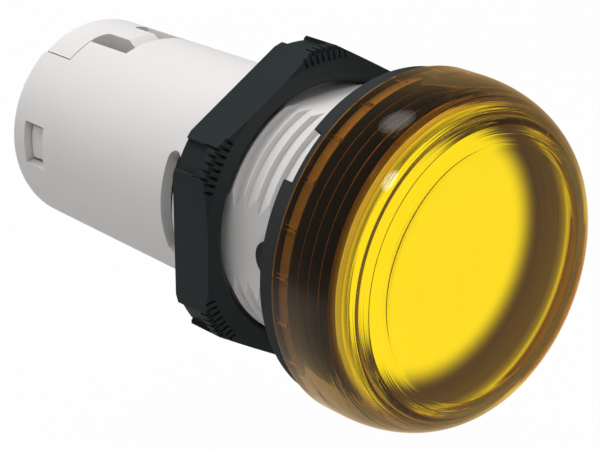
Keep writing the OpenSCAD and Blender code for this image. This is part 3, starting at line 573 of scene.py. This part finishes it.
def bowlOutline(sizes):
    centre = (sizes["mouth"] - sizes["round"], sizes["floor"] + sizes["round"])
    outer = sizes["round"] + sizes["thick"]
    points = [(0.0, sizes["floor"])]
    points += arc(centre, (sizes["round"], sizes["round"]), -90, 0, 24)
    lipTop = sizes["top"] + sizes["lipThick"]
    points += [(sizes["mouth"], lipTop), (sizes["lipRadius"], lipTop)]
    points += [(sizes["lipRadius"], sizes["top"]), (sizes["mouth"] + sizes["thick"], sizes["top"])]
    points += arc(centre, (outer, outer), 0, -90, 24)
    points += [(0.0, sizes["floor"] - sizes["thick"])]
    return points


bowlPiece = revolve("diffuserBowl", bowlOutline(bowl), 192)


def glowingBowl(name, look):
    # painted glow: the light fades up the wall into painted shade and comes back at the lip, with dark
    # painted streaks round it and a dimmer painted glow on the lip's side
    material, tree, shader = blankMaterial(name)
    wall = placeMask(tree, (-900, 200), look["wallRadii"], look["rise"], look["base"])
    rim = placeMask(tree, (-900, 400), look["rimRadii"], look["rise"], look["base"])
    side = placeMask(tree, (-900, 600), look["sideRadii"])
    shade = mathNode(tree, "SUBTRACT", wall, rim, (-700, 300), clamp=True)
    grain = placeGroup(tree, mouldGrain, (-900, -100), Scale=look["grain"], Flow=look["flow"])
    colour = mixColour(tree, shade, look["floor"], look["wall"], (-500, 200))
    tree.links.new(colour, shader.inputs["Base Color"])
    glow = mixColour(tree, shade, look["glow"], look["dim"], (-500, -100))
    glow = mixColour(tree, side, glow, look["side"], (-400, -100))
    rings = placeGroup(tree, turnedLines, (-900, -400), Scale=look["rings"], Drift=look["drift"])
    ramp = addNode(tree, "ShaderNodeMapRange", (-600, -400), interpolation_type="SMOOTHSTEP")
    ramp.inputs["From Min"].default_value = look["streakRamp"][0]
    ramp.inputs["From Max"].default_value = look["streakRamp"][1]
    tree.links.new(rings.outputs["Height"], ramp.inputs["Value"])
    outerPart = mathNode(tree, "MULTIPLY", rim, look["rimStreak"], (-650, -550))
    outerPart = mathNode(tree, "ADD", outerPart, look["wallStreak"], (-520, -550))
    outerPart = mathNode(tree, "MULTIPLY", outerPart, wall, (-400, -500))
    streak = mathNode(tree, "MULTIPLY", ramp.outputs["Result"], outerPart, (-400, -400))
    streak = mathNode(tree, "MULTIPLY", streak, look["streak"], (-250, -400))
    glow = mixColour(tree, streak, glow, look["streakColour"], (-300, -200))
    drift = mixColour(tree, look["mottle"], glow, grain.outputs["Mottle"], (-150, -100), "MULTIPLY")
    tree.links.new(drift, shader.inputs["Emission Color"])
    shader.inputs["Emission Strength"].default_value = look["strength"]
    shader.inputs["Roughness"].default_value = look["rough"]
    shader.inputs["Specular IOR Level"].default_value = 0.0
    addBump(tree, shader, grain.outputs["Height"], look["bump"], grainHeight)
    return material


bowlLook = {"wallRadii": (8.9, 11.9), "rimRadii": (12.9, 14.5), "sideRadii": (12.35, 12.5),
            "rise": 0.5, "base": bowl["floor"],
            "floor": (0.5, 0.36, 0.01), "wall": (0.15, 0.14, 0.16),
            "glow": (0.83, 1.0, 0.045), "dim": (0.02, 0.013, 0.045), "strength": 1.7,
            "rough": 0.5, "grain": 1400.0, "flow": 200.0, "mottle": 0.05, "bump": 0.2,
            "side": (0.36, 0.42, 0.1), "rings": 4200.0, "drift": 70.0,
            "streak": 0.75, "wallStreak": 0.1, "rimStreak": 0.85, "streakRamp": (0.42, 0.62),
            "streakColour": (0.24, 0.15, 0.02)}
bowlPiece.data.materials.append(glowingBowl("diffuserGlow", bowlLook))
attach(bowlPiece, "base")
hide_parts("diffuser")
print("diffuser built")

# collar: black ribs with rounded crests
collar = {
    "rear": 2.73, "front": 6.8, "seat": 12.56, "inner": 12.4, "rearInner": 11.2,
    "lipDepth": 0.4, "step": 4.2,           # the bore widens from the step to the lip
    "start": 3.65, "pitch": 0.93, "ribs": 3, "height": 0.3,
    "crest": 0.62, "valley": 0.86,          # where on the pitch the crest ends and the valley begins
    "round": 0.09, "bevel": 0.08,
    "gap": 0.22,                            # to the lens
}


def collarOutline(ring, cap):
    shoulder = cap["rear"] + cap["rim"]
    inRadius = cap["radius"] - cap["wall"]
    inHeight = cap["front"] - shoulder - cap["wall"]

    def crest(height):
        rise = max(0.0, height - shoulder) / inHeight
        return cap["faceRadius"] + (inRadius - cap["faceRadius"]) * math.sqrt(1 - rise ** 2) - ring["gap"]

    rounding = (ring["round"], ring["round"])
    points = [(ring["rearInner"], ring["rear"]), (ring["seat"], ring["rear"]), (ring["seat"], ring["start"])]
    for i in range(ring["ribs"]):
        low = ring["start"] + i * ring["pitch"]
        top = crest(low + ring["pitch"])
        foot = top - ring["height"]
        points += [(top - ring["round"], low)]
        points += arc((top - ring["round"], low + ring["round"]), rounding, -60, 0, 4)
        points += arc((top - ring["round"], low + ring["pitch"] * ring["crest"]), rounding, 0, 50, 4)
        points += [(foot, low + ring["pitch"] * ring["valley"]), (foot, low + ring["pitch"])]
    last = crest(ring["front"])
    points += [(last, ring["start"] + ring["ribs"] * ring["pitch"])]
    points += [(last, ring["front"] - ring["bevel"]), (last - ring["bevel"], ring["front"])]
    points += [(ring["inner"], ring["front"]), (ring["inner"], ring["front"] - ring["lipDepth"])]
    return points + [(ring["rearInner"], ring["step"])]


collarPiece = revolve("collarRibs", collarOutline(collar, lensCap), 192)


def ribbedBlack(name, look, ring):
    material = mouldedPlastic(name, look)
    tree = material.node_tree
    shader = tree.nodes["Principled BSDF"]
    base = shader.inputs["Base Color"].links[0].from_socket
    # painted highlights: light lines on the rib crests and a wider band of light on the front land
    lines = placeGroup(tree, ribLines, (-600, 500), Start=ring["start"] * mm, Pitch=ring["pitch"] * mm,
                       Width=look["lineWidth"])
    landPitch = 20.0   # longer than the collar, so that only the front land gets a wide line
    land = placeGroup(tree, ribLines, (-600, 700), Start=ring["front"] * mm, Pitch=landPitch * mm,
                      Width=look["landWidth"] / landPitch)
    paintedRibLight = mixColour(tree, land.outputs["Line"], base, look["land"], (-300, 400))
    paintedRibLight = mixColour(tree, lines.outputs["Line"], paintedRibLight, look["line"], (-150, 300))
    tree.links.new(paintedRibLight, shader.inputs["Base Color"])
    return material


collarPiece.data.materials.append(ribbedBlack("collarBlack", collarLook, collar))
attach(collarPiece, "base")
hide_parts("bezel_collar")
print("collar built")


# studio: heights and places in mm, the floor's size in metres
studio = {
    "floorHeight": -50.0, "floorSize": 6.0, "floorTone": 0.6,
    "camera": (-102.45, -102.45, 60.28), "turn": -42.026, "tilt": 22.253, "lens": 115.375,
    "world": 0.52, "glossDrop": 0.41,
    "glowShare": 0.95, "frontGlow": 0.11, "backGlow": 0.36,   # the floor in mirrored and passing rays
    "sweep": (-40.0, 60.0), "fade": (90.0, 260.0),            # where the back glow begins and ends
    "lampDistance": 700.0, "glintStep": 5.0,
}


def makeFloor(setup):
    mesh = bpy.data.meshes.new("studioFloor")
    half = setup["floorSize"] / 2
    height = setup["floorHeight"] * mm
    mesh.from_pydata([(-half, -half, height), (half, -half, height), (half, half, height),
                      (-half, half, height)], [], [(0, 1, 2, 3)])
    floor = bpy.data.objects.new("studioFloor", mesh)
    bpy.context.scene.collection.objects.link(floor)
    material, tree, shader = blankMaterial("floorPale")
    tone = setup["floorTone"]
    shader.inputs["Base Color"].default_value = (tone, tone, tone, 1.0)
    shader.inputs["Roughness"].default_value = 0.9
    shader.inputs["Specular IOR Level"].default_value = 0.0
    glow = addNode(tree, "ShaderNodeEmission", (0, -300))
    glow.inputs["Color"].default_value = (1.0, 1.0, 1.0, 1.0)
    rays = addNode(tree, "ShaderNodeLightPath", (-600, 300)).outputs
    seen = mathNode(tree, "MAXIMUM", rays["Is Camera Ray"], rays["Is Glossy Ray"], (-350, 300))
    seen = mathNode(tree, "MAXIMUM", seen, rays["Is Transmission Ray"], (-150, 300))
    share = mathNode(tree, "MULTIPLY", seen, setup["glowShare"], (50, 300))
    whole, split = objectPlace(tree, (-900, -300))
    sweep = addNode(tree, "ShaderNodeMapRange", (-500, -300), interpolation_type="SMOOTHSTEP")
    sweep.inputs["From Min"].default_value = setup["sweep"][0] * mm
    sweep.inputs["From Max"].default_value = setup["sweep"][1] * mm
    tree.links.new(split["Y"], sweep.inputs["Value"])
    away = addNode(tree, "ShaderNodeVectorMath", (-700, -500), operation="LENGTH")
    tree.links.new(whole, away.inputs[0])
    fade = addNode(tree, "ShaderNodeMapRange", (-500, -500), interpolation_type="SMOOTHSTEP")
    fade.inputs["From Min"].default_value = setup["fade"][0] * mm
    fade.inputs["From Max"].default_value = setup["fade"][1] * mm
    fade.inputs["To Min"].default_value = setup["backGlow"] - setup["frontGlow"]
    fade.inputs["To Max"].default_value = 0.0
    tree.links.new(away.outputs["Value"], fade.inputs["Value"])
    pool = mathNode(tree, "MULTIPLY", sweep.outputs["Result"], fade.outputs["Result"], (-350, -400))
    pool = mathNode(tree, "ADD", pool, setup["frontGlow"], (-250, -400))
    level = mathNode(tree, "MAXIMUM", rays["Is Camera Ray"], pool, (-150, -300))
    tree.links.new(level, glow.inputs["Strength"])
    blendShaders(tree, share, shader, glow)
    mesh.materials.append(material)


def makeWorld(setup):
    # white where the camera sees it, weaker as light, and weaker still in mirrored rays
    world = bpy.data.worlds.new("studioWorld")
    bpy.context.scene.world = world
    world.use_nodes = True
    tree = world.node_tree
    back = tree.nodes["Background"]
    path = addNode(tree, "ShaderNodeLightPath", (-600, 300))
    lit = mathNode(tree, "MULTIPLY", path.outputs["Is Glossy Ray"], setup["glossDrop"], (-400, 100))
    base = mathNode(tree, "SUBTRACT", setup["world"], lit, (-250, 100))
    strength = mathNode(tree, "MAXIMUM", path.outputs["Is Camera Ray"], base, (-100, 100))
    tree.links.new(strength, back.inputs["Strength"])
    back.inputs["Color"].default_value = (1.0, 1.0, 1.0, 1.0)


def makeLamp(name, direction, distance, spread, radiance, glossy):
    # spread is the lamp's angular radius seen from the part; without glossy it only lights
    data = bpy.data.lights.new(name, "AREA")
    radius = distance * math.tan(math.radians(spread))
    data.shape = "DISK"
    data.size = 2 * radius
    data.energy = radiance * math.pi * math.pi * radius ** 2
    lamp = bpy.data.objects.new(name, data)
    lamp.visible_glossy = glossy
    lamp.visible_transmission = glossy
    aim = Vector(direction).normalized()
    lamp.location = aim * distance
    lamp.rotation_euler = aim.to_track_quat("Z", "Y").to_euler()
    bpy.context.scene.collection.objects.link(lamp)


lamps = {
    "top": {"direction": (0.07, 0.33, 0.94), "spread": 20.0, "radiance": 6.5,
            "glintSpreads": (4.0, 6.0, 8.0, 10.0), "glintRadiance": 0.5},
    "front": {"direction": (-0.457, -0.326, 0.827), "spread": 12.0, "radiance": 3.5,
              "glintSpreads": (4.0, 5.5, 7.0), "glintRadiance": 2.8},
}


def makeSoftboxes(setup):
    distance = setup["lampDistance"] * mm
    for name, lamp in lamps.items():
        makeLamp(name + "Softbox", lamp["direction"], distance, lamp["spread"], lamp["radiance"], False)


def makeGlints(setup):
    # nested discs, each a little behind the one before, give a glint its soft edge
    for name, lamp in lamps.items():
        for i, spread in enumerate(lamp["glintSpreads"]):
            distance = (setup["lampDistance"] + setup["glintStep"] * i) * mm
            glintName = "%sGlint%d" % (name, i + 1)
            makeLamp(glintName, lamp["direction"], distance, spread, lamp["glintRadiance"], True)


def makeCamera(setup):
    data = bpy.data.cameras.new("camera")
    data.lens = setup["lens"]
    data.sensor_width = 36.0
    data.clip_start = 0.01
    data.clip_end = 20.0
    camera = bpy.data.objects.new("camera", data)
    camera.location = Vector(setup["camera"]) * mm
    camera.rotation_euler = (math.radians(90 - setup["tilt"]), 0.0, math.radians(setup["turn"]))
    bpy.context.scene.collection.objects.link(camera)
    bpy.context.scene.camera = camera


makeFloor(studio)
makeWorld(studio)
makeSoftboxes(studio)
makeGlints(studio)
makeCamera(studio)
bpy.context.scene.view_settings.view_transform = "Standard"
print("studio ready")

bpy.context.view_layer.update()
